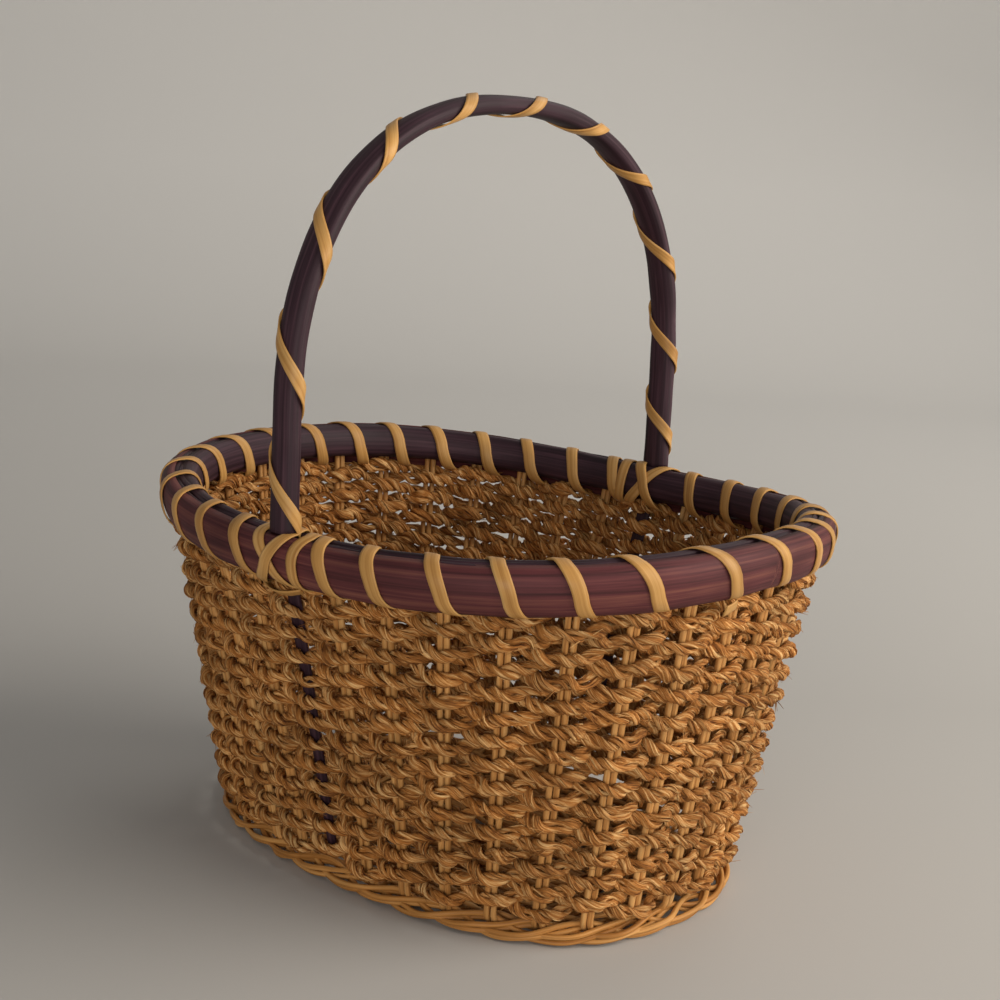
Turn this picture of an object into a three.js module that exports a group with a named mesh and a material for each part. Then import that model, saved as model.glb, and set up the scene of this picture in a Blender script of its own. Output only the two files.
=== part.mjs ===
// An oval rope basket with a fixed arched handle, in millimetres, +Z up.
// The origin is under the middle of the rim, on the floor. X runs along the oval, and the handle spans Y.
// Paired reed stakes run through the base and up the wall. Two rope strands hold them in every course and
// pass outside and inside the stakes by turns. Dyed rim reeds clamp the stake tops and the notched handle,
// and a flat cane binds them.
import * as THREE from "three";

// Wall: half sizes of its middle surface, between the ropes
const BASE_HALF_LENGTH = 108.5;
const BASE_HALF_WIDTH = 72.7;
const BASE_SQUARENESS = 2.5;
const RIM_HALF_LENGTH = 127.5;
const RIM_HALF_WIDTH = 107.5;
const RIM_SQUARENESS = 2.36;
const RIM_LEVEL = 140;
const RIM_SADDLE = 3.9;

// The wall leans a little: where the middle of the base lies from under the middle of the rim
const BASE_OFFSET_X = -2.5;
const BASE_OFFSET_Y = -2;

// Stakes and ropes
const STAKE_PLACES = 34;
const LONG_STAKES_A_SIDE = 2;
const REED_DIAMETER = 2.4;
const ROPE_DIAMETER = 3.6;
const COURSES = 13;
const LOWEST_ROPE_GAP = 2.3;
const STAKE_BEND = 5;

// Base and its border of three rods
const WEAVER_DIAMETER = 2.4;
const WEAVER_TURNS = 6;
const WEAVER_EDGE_INSET = 9;
const WEAVER_CORE_WIDTH = 6;
const WALE_DIAMETER = 3;
const WALE_RODS = 3;

// Rim reeds, measured from the rim level along the slope of the wall
const OUTER_RIM_TOP = 8;
const OUTER_RIM_BOTTOM = 10;
const OUTER_RIM_DEPTH = 6.6;
const INNER_RIM_TOP = 7.5;
const INNER_RIM_BOTTOM = 7;
const INNER_RIM_DEPTH = 6;
const FILLER_HEIGHT = 4.4;

// Cane bindings
const CANE_WIDTH = 5.6;
const CANE_THICKNESS = 1;
const TIE_WIDTH = 3.2;
const CANE_SLACK = 0.7;

// Handle
const HANDLE_WIDTH = 12;
const HANDLE_THICKNESS = 7.2;
const HANDLE_HALF_SPAN = 109.5;
const HANDLE_LEG_RISE = 46;
const HANDLE_ARCH_RISE = 110;
const HANDLE_SQUARENESS = 2.3;
const TAIL_TIP_WIDTH = 4.4;
const TAIL_TOP_WIDTH = 7;
const WRAP_TURNS = 11;

// Room between pieces that touch on the real basket
const CLEARANCE = 0.3;

// Heights and offsets that follow from the sizes above
const GAUGE = REED_DIAMETER / 2 + CLEARANCE;
const CROSS_STAKE_Z = 2 * CLEARANCE + REED_DIAMETER / 2;
const LONG_STAKE_Z = CROSS_STAKE_Z + REED_DIAMETER + CLEARANCE;
const WEAVER_Z = LONG_STAKE_Z + GAUGE + WEAVER_DIAMETER / 2;
const ROPE_OFFSET = GAUGE + ROPE_DIAMETER / 2 + 2 * CLEARANCE;
const WALE_OFFSET = GAUGE + WALE_DIAMETER / 2;
const WALE_PITCH = WALE_DIAMETER + CLEARANCE;
const WALE_SIDES = 6;
const WALE_BOTTOM_Z = (WALE_DIAMETER / 2) * Math.cos(Math.PI / WALE_SIDES);
const WALE_TOP_Z = WALE_BOTTOM_Z + (WALE_RODS - 1) * WALE_PITCH + WALE_DIAMETER / 2;
const BINDING_GAP = CLEARANCE + CANE_SLACK;
const RIM_DEPTH = Math.max(OUTER_RIM_DEPTH, INNER_RIM_DEPTH);
const BINDING_HALF_DEPTH = GAUGE + RIM_DEPTH + BINDING_GAP + CANE_THICKNESS / 2;
const BINDING_HALF_HEIGHT = (OUTER_RIM_TOP + OUTER_RIM_BOTTOM) / 2 + BINDING_GAP + CANE_THICKNESS / 2;
const BINDING_CENTRE = (OUTER_RIM_TOP - OUTER_RIM_BOTTOM) / 2;
const BINDING_SIDES = 8;
const WALL_FOOT_Z = CROSS_STAKE_Z;
const SIDE_FLARE = Math.abs(RIM_HALF_WIDTH - BASE_HALF_WIDTH) + Math.abs(BASE_OFFSET_Y);
const SIDE_SLOPE = SIDE_FLARE / (RIM_LEVEL - WALL_FOOT_Z);
const LEAN_DROP = SIDE_SLOPE * (ROPE_OFFSET + ROPE_DIAMETER / 2);
const SADDLE_DROP = RIM_SADDLE * (2 * WALE_TOP_Z / RIM_LEVEL);
const LOWEST_STRAND_Z = WALE_TOP_Z + LOWEST_ROPE_GAP + LEAN_DROP + SADDLE_DROP + ROPE_DIAMETER / 2;
const TIE_LAYER = CANE_THICKNESS + CLEARANCE;
const BINDING_FOOT = BINDING_HALF_HEIGHT - BINDING_CENTRE + TIE_LAYER + CANE_THICKNESS / 2;
const HIGHEST_STRAND_Z = RIM_LEVEL - BINDING_FOOT - CLEARANCE - ROPE_DIAMETER / 2;

const UP = new THREE.Vector3(0, 0, 1);
const turn = 2 * Math.PI;
const mix = (a, b, t) => a + (b - a) * t;

// An oval as points an equal share of its length apart
function ovalOf(halfLength, halfWidth, squareness) {
  const samples = 1440;
  const power = 2 / squareness;
  const points = [];
  const lengths = [0];
  for (let i = 0; i <= samples; i++) {
    const c = Math.cos((turn * i) / samples);
    const s = Math.sin((turn * i) / samples);
    const x = halfLength * Math.sign(c) * Math.abs(c) ** power;
    const y = halfWidth * Math.sign(s) * Math.abs(s) ** power;
    points.push(new THREE.Vector2(x, y));
    if (i) lengths.push(lengths[i - 1] + points[i].distanceTo(points[i - 1]));
  }
  const total = lengths[samples];
  function at(fraction) {
    const wanted = (fraction - Math.floor(fraction)) * total;
    let low = 0;
    let high = samples;
    while (high - low > 1) {
      const middle = (low + high) >> 1;
      if (lengths[middle] <= wanted) low = middle;
      else high = middle;
    }
    const share = (wanted - lengths[low]) / (lengths[high] - lengths[low]);
    return points[low].clone().lerp(points[high], share);
  }
  return { at, total };
}

const baseOval = ovalOf(BASE_HALF_LENGTH, BASE_HALF_WIDTH, BASE_SQUARENESS);
const rimOval = ovalOf(RIM_HALF_LENGTH, RIM_HALF_WIDTH, RIM_SQUARENESS);

// A point of the wall's middle surface: a share of the way round, and a rise from 0, the foot, to 1, the rim
function wallPoint(fraction, rise) {
  const foot = baseOval.at(fraction);
  const top = rimOval.at(fraction);
  const level = RIM_LEVEL + RIM_SADDLE * Math.cos(2 * turn * fraction);
  return new THREE.Vector3(
    mix(foot.x + BASE_OFFSET_X, top.x, rise),
    mix(foot.y + BASE_OFFSET_Y, top.y, rise),
    mix(WALL_FOOT_Z, level, rise),
  );
}

// The wall's own directions there: along the course, up the slope and out of the wall
function wallFrame(fraction, rise) {
  const step = 0.002;
  const p = wallPoint(fraction, rise);
  const along = wallPoint(fraction + step, rise).sub(wallPoint(fraction - step, rise)).normalize();
  const up = wallPoint(fraction, rise + 1).sub(p).normalize();
  const out = along.clone().cross(up).normalize();
  return { p, along, up, out };
}

const riseAt = (z) => (z - WALL_FOOT_Z) / (RIM_LEVEL - WALL_FOOT_Z);
const slopeLength = (fraction) => wallPoint(fraction, 1).distanceTo(wallPoint(fraction, 0));

// A point beside the wall: out of it by depth and up its slope by height from a given rise
function besideWall(fraction, rise, depth, height) {
  const f = wallFrame(fraction, rise);
  return f.p.addScaledVector(f.out, depth).addScaledVector(f.up, height);
}

// A closed body swept along frames, each with a centre p and section directions x and y
function sweep(frames, section, closed) {
  const count = section.length;
  const positions = [];
  for (const { p, x, y, scale = [1, 1] } of frames) {
    for (const [sx, sy] of section) {
      const q = p.clone().addScaledVector(x, sx * scale[0]).addScaledVector(y, sy * scale[1]);
      positions.push(q.x, q.y, q.z);
    }
  }
  const index = [];
  const last = closed ? frames.length : frames.length - 1;
  for (let i = 0; i < last; i++) {
    const next = (i + 1) % frames.length;
    for (let j = 0; j < count; j++) {
      const k = (j + 1) % count;
      index.push(i * count + j, i * count + k, next * count + k);
      index.push(i * count + j, next * count + k, next * count + j);
    }
  }
  if (!closed) {
    const outline = section.map(([sx, sy]) => new THREE.Vector2(sx, sy));
    const end = (frames.length - 1) * count;
    for (const [a, b, c] of THREE.ShapeUtils.triangulateShape(outline, [])) {
      index.push(c, b, a, end + a, end + b, end + c);
    }
  }
  if (signedVolume(positions, index) < 0) {
    for (let i = 0; i < index.length; i += 3) [index[i], index[i + 1]] = [index[i + 1], index[i]];
  }
  const geometry = new THREE.BufferGeometry();
  geometry.setAttribute("position", new THREE.Float32BufferAttribute(positions, 3));
  geometry.setIndex(index);
  geometry.computeVertexNormals();
  return geometry;
}

function signedVolume(positions, index) {
  const corner = (i) => new THREE.Vector3().fromArray(positions, 3 * index[i]);
  let sum = 0;
  for (let i = 0; i < index.length; i += 3) {
    sum += corner(i).dot(corner(i + 1).cross(corner(i + 2)));
  }
  return sum / 6;
}

// Sections
function roundSection(diameter, sides) {
  return Array.from({ length: sides }, (_, i) => [
    (diameter / 2) * Math.cos((turn * i) / sides),
    (diameter / 2) * Math.sin((turn * i) / sides),
  ]);
}

function stripSection(width, thickness) {
  const w = width / 2;
  const t = thickness / 2;
  return [[-w, -t], [w, -t], [w, t], [-w, t]];
}

// Two round reeds lying side by side
function pairSection() {
  const r = REED_DIAMETER / 2;
  return [[-2 * r, 0], [-r, -r], [r, -r], [2 * r, 0], [r, r], [-r, r]];
}

// A half-round reed, flat on the side that faces the stakes
function halfRoundSection(bottom, top, depth) {
  const middle = (top - bottom) / 2;
  const half = (top + bottom) / 2;
  const arcs = 5;
  const points = [];
  for (let i = 0; i <= arcs; i++) {
    const angle = Math.PI * (i / arcs - 0.5);
    points.push([GAUGE + depth * Math.cos(angle), middle + half * Math.sin(angle)]);
  }
  return points;
}

const mirrored = (section) => section.map(([x, y]) => [-x, y]);

// Materials
const finish = (color, roughness) => new THREE.MeshStandardMaterial({ color, roughness, metalness: 0 });
const seagrass = finish(0xa4712f, 0.75);
const reed = finish(0xb07c38, 0.6);
const dyedReed = finish(0x3a2126, 0.5);
const cane = finish(0xc68f4a, 0.5);

const basket = new THREE.Group();

function add(name, geometry, material, group) {
  const mesh = new THREE.Mesh(geometry, material);
  mesh.name = name;
  group.add(mesh);
}

const two = (number) => String(number).padStart(2, "0");

// A ring that follows the wall, with a corner beside every stake and its depth there
function wallRing(rise, depthAt, section) {
  const frames = [];
  for (let k = 0; k < STAKE_PLACES; k++) {
    const { p, up, out } = wallFrame((k + 0.5) / STAKE_PLACES, rise);
    frames.push({ p: p.addScaledVector(out, depthAt(k)), x: out, y: up });
  }
  return sweep(frames, section, true);
}

// Rope courses: the two strands of each pass outside and inside the stakes by turns, one above the other
function addRopes() {
  const wall = new THREE.Group();
  basket.add(wall);
  const ropeSides = 4;
  const section = roundSection(ROPE_DIAMETER, ropeSides);
  const strands = 2 * COURSES;
  const riseOf = (i) => riseAt(mix(LOWEST_STRAND_Z, HIGHEST_STRAND_Z, i / (strands - 1)));
  for (let i = 0; i < COURSES; i++) {
    const lower = (k) => (k % 2 ? -ROPE_OFFSET : ROPE_OFFSET);
    const upper = (k) => -lower(k);
    const name = `rope_course_${two(i + 1)}`;
    add(`${name}_lower`, wallRing(riseOf(2 * i), lower, section), seagrass, wall);
    add(`${name}_upper`, wallRing(riseOf(2 * i + 1), upper, section), seagrass, wall);
  }
}

// A pair of reeds that comes down the wall, crosses the base at its layer and goes up the far side
function stakeGeometry(fraction, farFraction, layerZ) {
  const topDrop = -(OUTER_RIM_TOP - FILLER_HEIGHT - 2 * CLEARANCE);
  const near = side(fraction);
  const far = side(farFraction);
  return sweep([...near, ...far.reverse()], pairSection(), false);

  function side(f) {
    const other = f === fraction ? farFraction : fraction;
    const run = wallPoint(other, 0).sub(wallPoint(f, 0)).setZ(0).normalize();
    const across = new THREE.Vector3().crossVectors(UP, run).multiplyScalar(f === fraction ? 1 : -1);
    const frames = [];
    const wallSteps = 3;
    for (let i = 0; i <= wallSteps; i++) {
      const low = riseAt(layerZ + STAKE_BEND);
      const { p, along, up, out } = wallFrame(f, mix(1 - topDrop / slopeLength(f), low, i / wallSteps));
      const width = along.dot(across) < 0 ? along.negate() : along;
      frames.push({ p, x: width, y: out });
    }
    const bendSteps = 2;
    for (let i = 1; i <= bendSteps; i++) {
      const angle = (Math.PI / 2) * (i / bendSteps);
      const z = layerZ + STAKE_BEND * (1 - Math.sin(angle));
      const p = wallPoint(f, riseAt(z)).addScaledVector(run, STAKE_BEND * (1 - Math.cos(angle))).setZ(z);
      const first = frames[wallSteps];
      const x = first.x.clone().lerp(across, i / bendSteps).normalize();
      const face = run.clone().negate().lerp(UP.clone().negate(), i / bendSteps);
      const y = face.addScaledVector(x, -face.dot(x)).normalize();
      frames.push({ p, x, y });
    }
    return frames;
  }
}

// Stakes: long ones run along the base, the rest across it, and the two middle places are the handle's
function addStakes() {
  const stakes = new THREE.Group();
  basket.add(stakes);
  const half = STAKE_PLACES / 2;
  const handlePlace = (half - 1) / 2;
  const place = (k) => (k + 0.5) / STAKE_PLACES;
  let number = 1;
  for (let k = -LONG_STAKES_A_SIDE; k < LONG_STAKES_A_SIDE; k++) {
    const geometry = stakeGeometry(place(k), place(half - 1 - k), LONG_STAKE_Z);
    add(`stake_pair_long_${two(number++)}`, geometry, reed, stakes);
  }
  number = 1;
  for (let k = LONG_STAKES_A_SIDE; k < half - LONG_STAKES_A_SIDE; k++) {
    if (k === handlePlace) continue;
    const geometry = stakeGeometry(place(k), place(-1 - k), CROSS_STAKE_Z);
    add(`stake_pair_cross_${two(number++)}`, geometry, reed, stakes);
  }
}

// A reed laid on the stakes in an oval spiral, from the middle of the base out to its edge
function baseSpiral() {
  const stepsATurn = 20;
  const outer = WEAVER_EDGE_INSET;
  const inner = BASE_HALF_WIDTH - WEAVER_CORE_WIDTH;
  const ringSides = 4;
  const points = [];
  for (let i = 0; i <= WEAVER_TURNS * stepsATurn; i++) {
    const inset = mix(inner, outer, i / (WEAVER_TURNS * stepsATurn));
    const angle = (turn * i) / stepsATurn;
    const x = BASE_OFFSET_X + (BASE_HALF_LENGTH - inset) * Math.cos(angle);
    const y = BASE_OFFSET_Y + (BASE_HALF_WIDTH - inset) * Math.sin(angle);
    points.push(new THREE.Vector3(x, y, WEAVER_Z));
  }
  const frames = points.map((p, i) => {
    const ahead = points[Math.min(i + 1, points.length - 1)];
    const behind = points[Math.max(i - 1, 0)];
    const along = ahead.clone().sub(behind).normalize();
    return { p, x: along.cross(UP).normalize(), y: UP };
  });
  return sweep(frames, roundSection(WEAVER_DIAMETER, ringSides), false);
}

function addBase() {
  const base = new THREE.Group();
  basket.add(base);
  add("base_weaver", baseSpiral(), reed, base);
  const section = roundSection(WALE_DIAMETER, WALE_SIDES);
  for (let i = 0; i < WALE_RODS; i++) {
    const rise = riseAt(WALE_BOTTOM_Z + i * WALE_PITCH);
    const frames = [];
    for (let k = 0; k < STAKE_PLACES; k++) {
      const { p, along } = wallFrame((k + 0.5) / STAKE_PLACES, 0);
      const flatOut = along.clone().setZ(0).cross(UP).normalize();
      const lean = wallPoint((k + 0.5) / STAKE_PLACES, rise).sub(p).setZ(0);
      p.add(lean).addScaledVector(flatOut, WALE_OFFSET).setZ(WALE_BOTTOM_Z + i * WALE_PITCH);
      frames.push({ p, x: flatOut, y: UP });
    }
    add(`base_wale_rod_${i + 1}`, sweep(frames, section, true), reed, base);
  }
}

// Rim: half-round reeds outside and inside the stakes, and a filler on top between them
function addRim() {
  const rim = new THREE.Group();
  basket.add(rim);
  const outer = halfRoundSection(OUTER_RIM_BOTTOM, OUTER_RIM_TOP, OUTER_RIM_DEPTH);
  const inner = mirrored(halfRoundSection(INNER_RIM_BOTTOM, INNER_RIM_TOP, INNER_RIM_DEPTH));
  const seated = () => 0;
  add("rim_outer", wallRing(1, seated, outer), dyedReed, rim);
  add("rim_inner", wallRing(1, seated, inner), dyedReed, rim);

  const half = REED_DIAMETER / 2;
  const low = OUTER_RIM_TOP - FILLER_HEIGHT;
  const brow = OUTER_RIM_TOP - half;
  const section = [[-half, low], [half, low], [half, brow], [0, OUTER_RIM_TOP], [-half, brow]];
  const handleRoom = (TAIL_TOP_WIDTH / 2 + 2 * CLEARANCE) / rimOval.total;
  const ends = { rim_filler_left: 0.25, rim_filler_right: 0.75 };
  for (const [name, start] of Object.entries(ends)) {
    const fractions = [start + handleRoom];
    for (let k = 1; k < STAKE_PLACES / 2; k++) fractions.push(start + k / STAKE_PLACES);
    fractions.push(start + 0.5 - handleRoom);
    const frames = fractions.map((f) => {
      const { p, up, out } = wallFrame(f, 1);
      return { p, x: out, y: up };
    });
    add(name, sweep(frames, section, false), dyedReed, rim);
  }
}

// A point of a cane round the rim: angle 0 is under the rim, a quarter turn is inside the basket.
// The path is a polygon whose flats clear the rim, so its corners reach past the binding's half sizes.
function bindingPoint(fraction, angle, extra) {
  const reach = 1 / Math.cos(Math.PI / BINDING_SIDES);
  const depth = -(BINDING_HALF_DEPTH + extra) * reach * Math.sin(angle);
  const height = BINDING_CENTRE - (BINDING_HALF_HEIGHT + extra) * reach * Math.cos(angle);
  const { along, up, out } = wallFrame(fraction, 1);
  const p = besideWall(fraction, 1, depth, height);
  const face = out.multiplyScalar(-Math.sin(angle)).addScaledVector(up, -Math.cos(angle)).normalize();
  return { p, along, face };
}

// Frames for a flat strip along points that each know the way out of the surface under them
function stripFrames(points, closed) {
  return points.map(({ p, face }, i) => {
    const n = points.length;
    const ahead = closed ? points[(i + 1) % n] : points[Math.min(i + 1, n - 1)];
    const behind = closed ? points[(i + n - 1) % n] : points[Math.max(i - 1, 0)];
    const along = ahead.p.clone().sub(behind.p).normalize();
    const y = face.clone().addScaledVector(along, -face.dot(along)).normalize();
    return { p, x: along.clone().cross(y).normalize(), y };
  });
}

// Bindings: one cane winds round each half of the rim, a turn in every gap between stakes
function addBindings() {
  const bindings = new THREE.Group();
  basket.add(bindings);
  const turns = STAKE_PLACES / 2 - 1;
  const starts = { rim_binding_left: 0.25, rim_binding_right: 0.75 };
  const section = stripSection(CANE_WIDTH, CANE_THICKNESS);
  for (const [name, start] of Object.entries(starts)) {
    const points = [];
    for (let i = 0; i < turns * BINDING_SIDES; i++) {
      const turned = (i + 0.5) / BINDING_SIDES;
      points.push(bindingPoint(start + (turned + 0.5) / STAKE_PLACES, turn * turned, 0));
    }
    printLeastGap(name, points.map(({ p }) => p), CANE_WIDTH);
    add(name, sweep(stripFrames(points, false), section, false), cane, bindings);
  }
  addTies(bindings);
}

// Ties: two crossing loops hold each leg of the handle to the rim
function addTies(bindings) {
  const topReach = HANDLE_WIDTH / 2 + TIE_WIDTH / 2 + 5 * CLEARANCE;
  const bottomReach = TAIL_TOP_WIDTH / 2 + TIE_WIDTH / 2 + 5 * CLEARANCE;
  const section = stripSection(TIE_WIDTH, CANE_THICKNESS);
  const legs = { back: 0.25, front: 0.75 };
  for (const [leg, middle] of Object.entries(legs)) {
    [1, -1].forEach((lean, layer) => {
      const points = [];
      for (let i = 0; i < BINDING_SIDES; i++) {
        const angle = (turn * (i + 0.5)) / BINDING_SIDES;
        const shift = lean * mix(-bottomReach, topReach, (1 - Math.cos(angle)) / 2);
        const extra = layer * TIE_LAYER;
        points.push(bindingPoint(middle + shift / rimOval.total, angle, extra));
      }
      add(`handle_tie_${leg}_${layer + 1}`, sweep(stripFrames(points, true), section, true), cane, bindings);
    });
  }
}

// The handle's middle line above the rim, from the front leg over the top to the back leg
const shoulderAt = (fraction) => besideWall(fraction, 1, 0, OUTER_RIM_TOP + CLEARANCE);
const springZ = RIM_LEVEL + HANDLE_LEG_RISE;
function handleLine() {
  const legSteps = 3;
  const archSteps = 24;
  const front = shoulderAt(0.75);
  const back = shoulderAt(0.25);
  const points = [];
  for (let i = 0; i < legSteps; i++) {
    points.push(front.clone().lerp(new THREE.Vector3(0, -HANDLE_HALF_SPAN, springZ), i / legSteps));
  }
  const power = 2 / HANDLE_SQUARENESS;
  for (let i = 0; i <= archSteps; i++) {
    const angle = Math.PI * (1 - i / archSteps);
    const y = HANDLE_HALF_SPAN * Math.sign(Math.cos(angle)) * Math.abs(Math.cos(angle)) ** power;
    const z = springZ + HANDLE_ARCH_RISE * Math.sin(angle) ** power;
    points.push(new THREE.Vector3(0, y, z));
  }
  for (let i = legSteps - 1; i >= 0; i--) {
    points.push(back.clone().lerp(new THREE.Vector3(0, HANDLE_HALF_SPAN, springZ), i / legSteps));
  }
  return points;
}

const WIDE = new THREE.Vector3(1, 0, 0);

function handleFrames(points) {
  return points.map((p, i) => {
    const ahead = points[Math.min(i + 1, points.length - 1)];
    const behind = points[Math.max(i - 1, 0)];
    const along = ahead.clone().sub(behind).normalize();
    return { p, x: WIDE, y: along.clone().cross(WIDE).normalize(), along };
  });
}

// One leg's shaved tail: it fills the slot between the rim reeds and runs down the wall among the stakes
function tailFrames(fraction) {
  const tip = riseAt(LOWEST_STRAND_Z);
  const top = 1 + OUTER_RIM_TOP / slopeLength(fraction);
  const steps = 4;
  const frames = [];
  for (let i = 0; i <= steps; i++) {
    const { p, out } = wallFrame(fraction, mix(tip, top, i / steps));
    const width = mix(TAIL_TIP_WIDTH, TAIL_TOP_WIDTH, i / steps);
    frames.push({ p, x: WIDE, y: out, scale: [width / HANDLE_WIDTH, REED_DIAMETER / HANDLE_THICKNESS] });
  }
  return frames;
}

function addHandle() {
  const handle = new THREE.Group();
  basket.add(handle);
  const sides = 8;
  const section = roundSection(1, sides).map(([x, y]) => [x * HANDLE_WIDTH, y * HANDLE_THICKNESS]);
  const front = tailFrames(0.75);
  const back = tailFrames(0.25).reverse();
  for (const frame of back) frame.y.negate();
  const arch = handleFrames(handleLine());
  for (const frame of arch) frame.y.negate();
  if (arch[0].y.dot(front[0].y) < 0) for (const frame of arch) frame.y.negate();
  if (back[0].y.dot(arch[arch.length - 1].y) < 0) for (const frame of back) frame.y.negate();
  add("handle", sweep([...front, ...arch, ...back], section, false), dyedReed, handle);
  addWrap(handle);
}

// Wrap: one cane winds along the handle from rim to rim, its section measured along the handle
function addWrap(handle) {
  const line = new THREE.CatmullRomCurve3(handleLine());
  const sides = 8;
  const reach = 1 / Math.cos(Math.PI / sides);
  const halfWidth = (HANDLE_WIDTH / 2 + BINDING_GAP + CANE_THICKNESS / 2) * reach;
  const halfDepth = (HANDLE_THICKNESS / 2 + BINDING_GAP + CANE_THICKNESS / 2) * reach;
  const endRoom = (CANE_WIDTH + TIE_WIDTH + 4 * CANE_THICKNESS) / line.getLength();
  const points = [];
  for (let i = 0; i <= WRAP_TURNS * sides; i++) {
    const t = mix(endRoom, 1 - endRoom, i / (WRAP_TURNS * sides));
    const along = line.getTangentAt(t);
    const depth = along.clone().cross(WIDE).normalize();
    const angle = -(turn * (i + 0.5)) / sides;
    const p = line.getPointAt(t).addScaledVector(WIDE, halfWidth * Math.cos(angle));
    p.addScaledVector(depth, halfDepth * Math.sin(angle));
    const face = WIDE.clone().multiplyScalar(Math.cos(angle) / halfWidth);
    face.addScaledVector(depth, Math.sin(angle) / halfDepth).normalize();
    points.push({ p, x: along, y: face });
  }
  const girth = Math.PI * (halfWidth + halfDepth);
  const pitch = line.getLength() / WRAP_TURNS;
  const slantedWidth = (CANE_WIDTH * Math.hypot(girth, pitch)) / girth;
  printLeastGap("handle_wrap", points.map(({ p }) => p), slantedWidth);
  add("handle_wrap", sweep(points, stripSection(slantedWidth, CANE_THICKNESS), false), cane, handle);
}

// The least gap of a winding to its own next turns, measured on its points
function printLeastGap(name, points, width) {
  let least = Infinity;
  points.forEach((p, i) => {
    for (let j = i + 6; j < points.length; j++) least = Math.min(least, p.distanceTo(points[j]) - width);
  });
  console.log(`${name}: least gap between its turns ${least.toFixed(2)} mm`);
}

addBase();
addStakes();
addRopes();
addRim();
addBindings();
addHandle();

export default basket;
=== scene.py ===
import math

import bpy
import numpy as np
from mathutils import Matrix, Vector


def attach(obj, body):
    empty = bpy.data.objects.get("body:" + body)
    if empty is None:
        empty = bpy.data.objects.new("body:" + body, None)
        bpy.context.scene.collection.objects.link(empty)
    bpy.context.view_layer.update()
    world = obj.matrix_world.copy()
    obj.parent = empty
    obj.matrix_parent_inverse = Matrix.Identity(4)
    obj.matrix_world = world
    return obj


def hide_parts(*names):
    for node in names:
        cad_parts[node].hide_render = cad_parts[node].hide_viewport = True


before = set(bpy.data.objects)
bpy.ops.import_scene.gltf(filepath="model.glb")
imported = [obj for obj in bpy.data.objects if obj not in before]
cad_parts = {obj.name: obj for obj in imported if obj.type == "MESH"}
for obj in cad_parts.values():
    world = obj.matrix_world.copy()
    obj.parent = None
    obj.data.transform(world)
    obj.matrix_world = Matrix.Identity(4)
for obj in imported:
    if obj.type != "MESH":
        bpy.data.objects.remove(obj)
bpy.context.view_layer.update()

# Sizes in millimetres, in the frame of the solids
MM = 0.001
PLACES = 34
COURSES = 13
BASE_OVAL = (108.5, 72.7, 2.5)
BASE_OFFSET = (-2.5, -2.0)
RIM_OVAL = (127.5, 107.5, 2.36)
RIM_LEVEL = 140.0
RIM_SADDLE = 3.9
WALL_FOOT = 1.8
LOWEST_COURSE = 16.0
HIGHEST_COURSE = 126.4
REED = 2.4
SLOT = 1.5
PLY_OFFSET = 1.12
PLY_RADIUS = 1.38
PLY_PITCH = 15.0
WEAVE_DEPTH = 3.4
STRAND_SHIFT = 2.28
FRONT_DROP = 0.75
CROSS_STAKE_Z = 4.2
LONG_STAKE_Z = 6.5
STAKE_BEND = 5.0
LONG_STAKES_A_SIDE = 2
WALE_RADIUS = 1.05
OUTER_RIM = (-10.0, 8.0, 6.6)
INNER_RIM = (-7.0, 7.5, 6.0)
CANE_WIDTH = 5.2
CANE_THICKNESS = 0.7
HANDLE_WIDTH = 12.0
HANDLE_THICKNESS = 7.2
HANDLE_HALF_SPAN = 109.5
HANDLE_SPRING_Z = 186.0
HANDLE_ARCH_RISE = 110.0
HANDLE_SQUARENESS = 2.3
TAIL_WIDTHS = (4.4, 7.0)
# Where the wrap crosses the near side of the handle: millimetres from the front leg, and degrees round it
WRAP_MARKS = (
    (10, -42),
    (57, -42),
    (103, -41),
    (147, -29),
    (188, -10),
    (224, 3),
    (264, 22),
    (298, 39),
    (340, 50),
    (383, 54),
    (417, 54),
)
TURN = 2 * math.pi


# Curves
def unit(v):
    return v / np.linalg.norm(v, axis=-1, keepdims=True)


def signed_power(value, power):
    return np.sign(value) * np.abs(value) ** power


def oval(half_length, half_width, squareness, fraction):
    t = np.linspace(0, TURN, 2881)
    x = half_length * signed_power(np.cos(t), 2 / squareness)
    y = half_width * signed_power(np.sin(t), 2 / squareness)
    length = np.concatenate([[0], np.cumsum(np.hypot(np.diff(x), np.diff(y)))])
    wanted = np.mod(fraction, 1.0) * length[-1]
    return np.interp(wanted, length, x), np.interp(wanted, length, y)


def wall(fraction, rise):
    """Points of the wall's middle surface: rise is 0 at the foot and 1 at the rim."""
    fraction = np.asarray(fraction, float)
    foot_x, foot_y = oval(*BASE_OVAL, fraction)
    top_x, top_y = oval(*RIM_OVAL, fraction)
    level = RIM_LEVEL + RIM_SADDLE * np.cos(2 * TURN * fraction)
    foot_x, foot_y = foot_x + BASE_OFFSET[0], foot_y + BASE_OFFSET[1]
    x = foot_x + (top_x - foot_x) * rise
    y = foot_y + (top_y - foot_y) * rise
    return np.stack([x, y, WALL_FOOT + (level - WALL_FOOT) * rise], -1)


def wall_frame(fraction, rise):
    """Directions along the course, up the slope and out of the wall."""
    fraction = np.asarray(fraction, float)
    along = unit(wall(fraction + 0.004, rise) - wall(fraction - 0.004, rise))
    up = unit(wall(fraction, rise + 1) - wall(fraction, rise))
    return along, up, unit(np.cross(along, up))


def beside(fraction, rise, depth, height):
    along, up, out = wall_frame(fraction, rise)
    return wall(fraction, rise) + out * np.reshape(depth, (-1, 1)) + up * np.reshape(height, (-1, 1))


def rise_at(z):
    return (z - WALL_FOOT) / (RIM_LEVEL - WALL_FOOT)


rim_x, rim_y = oval(*RIM_OVAL, np.linspace(0, 1, 1441))
RIM_LENGTH = float(np.sum(np.hypot(np.diff(rim_x), np.diff(rim_y))))


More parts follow.
